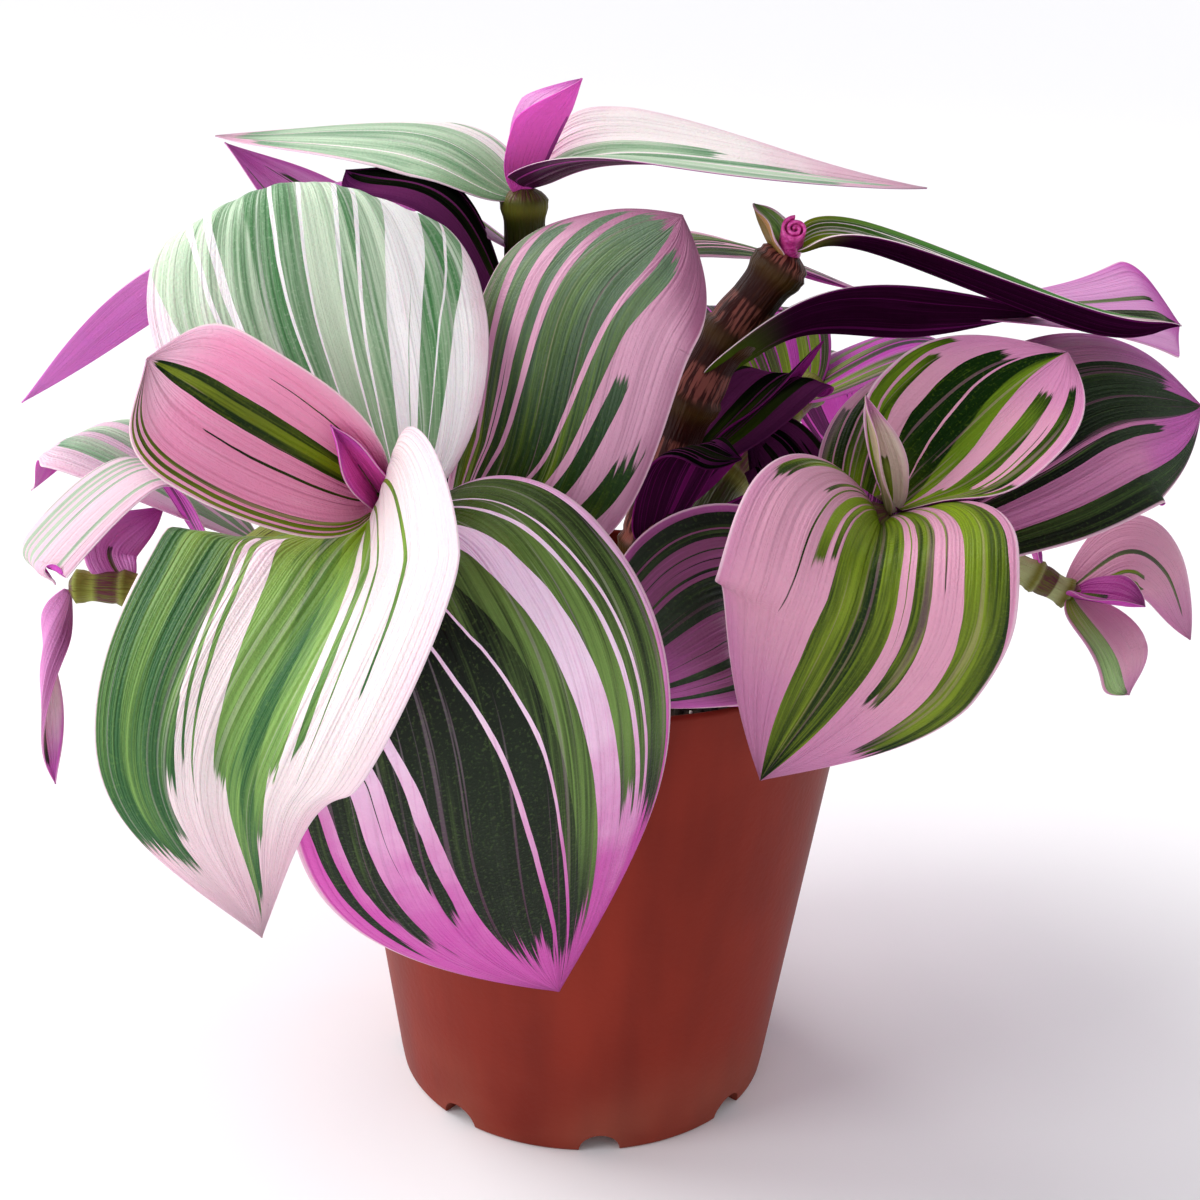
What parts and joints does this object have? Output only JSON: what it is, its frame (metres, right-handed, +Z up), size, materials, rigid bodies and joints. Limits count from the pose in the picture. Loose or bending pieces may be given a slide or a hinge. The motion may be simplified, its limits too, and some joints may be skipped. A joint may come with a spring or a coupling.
{
  "type": "potted tradescantia",
  "caption": "Bushy tradescantia with broad pink, white and green striped leaves with purple undersides, growing in a plain tapered terracotta-coloured nursery pot.",
  "frame": {"origin": "middle of the underside of the pot's base, on the surface it stands on", "axes": "+Z up along the pot's axis; +Y away from the side that the picture shows; +X to the right in the picture"},
  "size_m": [0.2105, 0.194, 0.1718],
  "materials": {
    "pot": "satin",
    "soil": "matte",
    "stem": "satin",
    "leaf": "satin"
  },
  "bodies": {
    "root": {"pot": "pot", "soil": "soil", "stem_front": "stem", "stem_right": "stem", "stem_top": "stem", "stem_thick": "stem", "stem_far_left": "stem", "stem_far_right": "stem", "stem_back_left": "stem", "stem_back_right": "stem", "leaf_thick_scroll": "leaf", "leaf_front_high": "leaf", "leaf_front_cupped": "leaf", "leaf_front_left": "leaf", "leaf_front_low": "leaf", "leaf_front_right": "leaf", "leaf_front_young": "leaf", "leaf_right_low": "leaf", "leaf_right_high": "leaf", "leaf_right_outer": "leaf", "leaf_right_back": "leaf", "leaf_right_young": "leaf", "leaf_top_left": "leaf", "leaf_top_right": "leaf", "leaf_top_young": "leaf", "leaf_top_long": "leaf", "leaf_top_arched": "leaf", "leaf_top_rear": "leaf", "leaf_top_lower": "leaf", "leaf_thick_right": "leaf", "leaf_thick_low": "leaf", "leaf_thick_rear": "leaf", "leaf_thick_collar": "leaf", "leaf_farleft_hanging": "leaf", "leaf_farleft_curled": "leaf", "leaf_farleft_rear": "leaf", "leaf_farleft_small": "leaf", "leaf_farright_curved": "leaf", "leaf_farright_low": "leaf", "leaf_farright_young": "leaf", "leaf_farright_rear": "leaf", "leaf_rim": "leaf", "leaf_inner_left": "leaf", "leaf_inner_right": "leaf", "leaf_backleft_low": "leaf", "leaf_backleft_side": "leaf", "leaf_backleft_high": "leaf", "leaf_backleft_rim": "leaf", "leaf_backright_low": "leaf", "leaf_backright_side": "leaf", "leaf_backright_high": "leaf", "leaf_backright_rim": "leaf", "leaf_top_inner": "leaf", "leaf_top_inner_back": "leaf", "leaf_thick_back": "leaf", "leaf_thick_inner": "leaf", "leaf_thick_inner_low": "leaf"}
  },
  "joints": []
}
